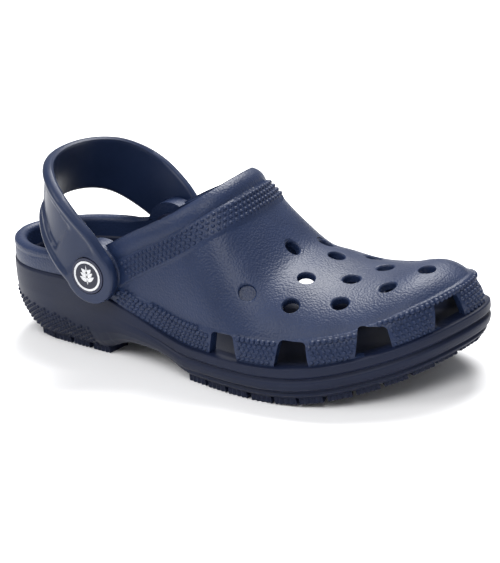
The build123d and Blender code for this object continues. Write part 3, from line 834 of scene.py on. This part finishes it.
near = (gap > ROLL_WIDTH) & (gap < BAND_END + 2)
near_run, near_gap = place_on_collar.reshape(gap.shape)[near], gap[near]
near_at, near_facing = outer[near], normals[near]
collar_x_at = np.interp(np.arange(0, collar_run[-1], DOT_PITCH), collar_run, collar_line[:, 0])
for n, x in enumerate(collar_x_at):
    if x < -47:
        continue
    for row in range(4):
        run = (n + 0.5 * (row % 2)) * DOT_PITCH
        wanted = 12.0 + 2.7 * row
        away = (near_run - run) ** 2 + (near_gap - wanted) ** 2
        pick = np.argsort(away)[:10]
        if away[pick[0]] > 4:
            continue
        fit = np.column_stack([np.ones(10), near_run[pick] - run, near_gap[pick] - wanted])
        at = np.linalg.lstsq(fit, near_at[pick], rcond=0.05)[0][0]
        if np.linalg.norm(at - near_at[pick[0]]) > 2.5:
            continue
        dot_places.append(at)
        dot_facing.append(near_facing[pick].mean(0))
        dot_sizes.append(DOT_SIZE * 1.05)
facing = np.array(dot_facing)
dots = scatter("raised_dots", dot_places, facing, np.cross(facing, [0.3, 0.5, 0.8]), dot_sizes,
               dome(), upper_foam)
dots.data.polygons.foreach_set("use_smooth", [True] * len(dots.data.polygons))
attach(dots, "clog")


# ---- Heel strap ---------------------------------------------------------------------------
# One moulded U-shaped band. Its outer face is sunk between two rolled edges, with an oblong
# recess along each arm, and it ends in a round eye on each side of the shoe.
STRAP_REACH, STRAP_HALF, STRAP_THICK, STRAP_TILT, LEAN_LEVEL = 50.0, 47.6, 6.6, 14.0, 43.0
EYE_RADIUS = 16.5
HEAD_BORE, HEAD_SEAT, SHANK_BORE = 10.5, 46.2, 4.1
FRONT_EDGE = [(12, 11.3), (3, 24), (-12, 38), (-29, 49), (-40, 53.6), (-50, 56.2)]
REAR_EDGE = [(-15.5, -5.8), (-31, 8), (-44, 20), (-54, 25.5), (-60, 27.0)]


def lean_u(x, z):
    return x - (z - LEAN_LEVEL) * np.tan(radians(STRAP_TILT))


def edge_curve(points):
    """(x, z, u) along one edge of the arm, seen from the side."""
    points = np.array(points, float)
    t = np.arange(len(points))
    fine = np.linspace(0, len(points) - 1, 400)
    x = through(list(zip(t, points[:, 0])), fine)
    z = through(list(zip(t, points[:, 1])), fine)
    return x, z, lean_u(x, z)


def at_angle(curve, beta):
    """The point where a leaning edge has gone round the loop by an angle from 0 to 1."""
    x, z, u = curve
    start = u[0]
    first = np.arcsin(np.clip(-start / STRAP_REACH, -1, 1))
    wanted = -STRAP_REACH * np.sin(first + (pi / 2 - first) * beta)
    order = u[::-1]
    return np.interp(wanted, order, x[::-1]), np.interp(wanted, order, z[::-1])


front_curve, rear_curve = edge_curve(FRONT_EDGE), edge_curve(REAR_EDGE)
EYE_SECTIONS, ARM_SECTIONS, FACE_STEPS = 22, 110, 36
sections = []
for k in range(EYE_SECTIONS):
    t = (k / EYE_SECTIONS) ** 0.6
    t = 0.02 + 0.98 * t
    low, f, r = -58.1, 43.3, -159.5
    a, b = radians(low + (f - low) * t), radians(low + (r - low) * t)
    sections.append(((EYE_RADIUS * cos(b), EYE_RADIUS * sin(b)),
                     (EYE_RADIUS * cos(a), EYE_RADIUS * sin(a)), 0.0))
for k in range(ARM_SECTIONS + 1):
    beta = k / ARM_SECTIONS
    sections.append((at_angle(rear_curve, beta), at_angle(front_curve, beta), beta))


def strap_point(x, z, depth, side):
    """A point of the band, depth inside its outer face, on one side of the shoe."""
    u = np.clip(lean_u(x, z), -STRAP_REACH, None)
    sine = np.clip(-u / STRAP_REACH, 0, 1)
    beta = np.arcsin(sine)
    half = STRAP_HALF + 1.6 - depth
    reach = STRAP_REACH - depth
    shift = np.where(u < 0, -reach * np.sin(beta) - u, 0)
    y = np.where(u < 0, half * np.cos(beta), half)
    return np.stack([PIVOT[0] + x + shift, PIVOT[1] + side * y, PIVOT[2] + z], -1)


def band_section(rear, front, beta, side):
    """One closed slice of the band: sunk outer face, round edges and flat inner face."""
    v = np.linspace(0, 1, FACE_STEPS)
    width = np.hypot(front[0] - rear[0], front[1] - rear[1])
    from_edge = np.minimum(v, 1 - v) * width
    on_arm = ease(beta, 0.02, 0.09)
    sunk = 1.3 * ease(from_edge, 3.4, 4.6) * on_arm
    slot_ends = ease(beta, 0.20, 0.25) * (1 - ease(beta, 0.62, 0.70))
    sunk = sunk + 1.5 * ease(from_edge, 7.4, 8.6) * slot_ends
    round_off = np.clip(1 - from_edge / 2.4, 0, 1)
    edge_drop = 2.4 * (1 - np.sqrt(np.clip(1 - round_off**2, 0, 1)))
    x = rear[0] + (front[0] - rear[0]) * v
    z = rear[1] + (front[1] - rear[1]) * v
    inner_drop = STRAP_THICK - 1.6 * (1 - np.sqrt(np.clip(1 - round_off**2, 0, 1)))
    face = strap_point(x, z, 0.4 + sunk + edge_drop, side)
    inner = strap_point(x[::-1], z[::-1], inner_drop[::-1], side)
    return np.vstack([face, inner])


slices = [band_section(*s, -1) for s in sections]
slices += [band_section(*s, 1) for s in sections[-2::-1]]
around = 2 * FACE_STEPS
points = np.vstack(slices)
faces = ring_faces(len(slices), around)
faces.append(tuple(range(around))[::-1])
faces.append(tuple(range(len(points) - around, len(points))))
strap_foam = foam_material("strap_foam", (0.0095, 0.0185, 0.052), 0.36, 0.06, 1500)
strap = moulded("strap_band", points, faces, strap_foam)
weld(strap, 0.00001)
for side in (-1, 1):
    for radius, out_from, out_to in ((HEAD_BORE, HEAD_SEAT, 60), (SHANK_BORE, 35, 60)):
        tool = cutter("eye_cutter", [(out_from, radius), (out_to, radius)], 48, PIVOT, (0, side, 0))
        combine(strap, tool, "DIFFERENCE")
strap.data.set_sharp_from_angle(angle=radians(38))
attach(strap, "strap")
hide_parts("heel_strap")


# ---- Rivets and snap caps -----------------------------------------------------------------
# Moulded plastic buttons: the head in the eye and the cap inside the shoe keep their shape.
rivet_plastic = foam_material("rivet_plastic", (0.018, 0.022, 0.05), 0.32, 0.02, 1200)
for name in ("rivet_outer", "rivet_inner", "rivet_cap_outer", "rivet_cap_inner"):
    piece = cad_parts[name]
    for k in range(len(piece.material_slots)):
        piece.material_slots[k].material = rivet_plastic


# ---- Badges -------------------------------------------------------------------------------
# A printed disc set in each rivet head: a pale ring round a dark field with a sprig of leaves.
BADGE_FACE, BADGE_RADIUS = 49.25, 8.7
badge_dark = foam_material("badge_field", (0.012, 0.015, 0.03), 0.22, 0.01, 1500)
badge_pale = foam_material("badge_print", (0.62, 0.63, 0.65), 0.28, 0.01, 1500)


def on_badge(points, side, out):
    return [PIVOT + np.array([u * -side, side * (BADGE_FACE + w + out), v]) for u, v, w in points]


def leaf(root, tip, width):
    """A pointed leaf between two points of the disc."""
    root, tip = np.array(root), np.array(tip)
    axis = tip - root
    across = np.array([-axis[1], axis[0]]) / np.linalg.norm(axis)
    left, right = [], []
    for t in np.linspace(0, 1, 7):
        half = width * sin(pi * t**0.8)
        left.append(root + axis * t + across * half)
        right.append(root + axis * t - across * half)
    return left + right[-2:0:-1]


def turned_points(rings, around=64):
    """Points of rings (radius, height) round the disc's axis."""
    turns = [2 * pi * k / around for k in range(around)]
    return [(r * cos(a), r * sin(a), w) for r, w in rings for a in turns]


LEAVES = [((0, -5.0), (0, 6.2), 0.55)]
for k, rise in enumerate((-2.6, -0.4, 1.8)):
    reach = 4.6 - 0.7 * k
    LEAVES += [((0, rise - 0.4), (s * reach, rise + 2.3), 1.15) for s in (-1, 1)]
for side, label in ((-1, "outer"), (1, "inner")):
    disc_rings = [(BADGE_RADIUS, -0.85), (BADGE_RADIUS, -0.2), (BADGE_RADIUS - 0.2, 0.0), (4.0, 0.0)]
    points = turned_points(disc_rings)
    faces = ring_faces(4, 64) + [tuple(range(64))[::-1], tuple(range(192, 256))]
    disc = moulded(f"badge_field_{label}", on_badge(points, side, 0), faces, badge_dark, smooth=False)
    weld(disc)
    rings = [(8.5, 0.0), (8.5, 0.12), (7.3, 0.12), (7.3, 0.0)]
    points = turned_points(rings + rings[:1])
    band = moulded(f"badge_ring_{label}", on_badge(points, side, 0), ring_faces(5, 64), badge_pale,
                   smooth=False)
    weld(band)
    points, faces = [], []
    for root, tip, width in LEAVES:
        shape = leaf(root, tip, width)
        n, base = len(shape), len(points)
        points += [(u, v, w) for w in (0.0, 0.12) for u, v in shape]
        faces += [(base + k, base + (k + 1) % n, base + n + (k + 1) % n, base + n + k)
                  for k in range(n)]
        faces += [tuple(range(base, base + n))[::-1], tuple(range(base + n, base + 2 * n))]
    sprig = moulded(f"badge_sprig_{label}", on_badge(points, side, 0), faces, badge_pale,
                    smooth=False)
    weld(sprig, 0.000001)
    for piece in (disc, band, sprig):
        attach(piece, "clog")
        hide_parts(f"rivet_badge_{label}")
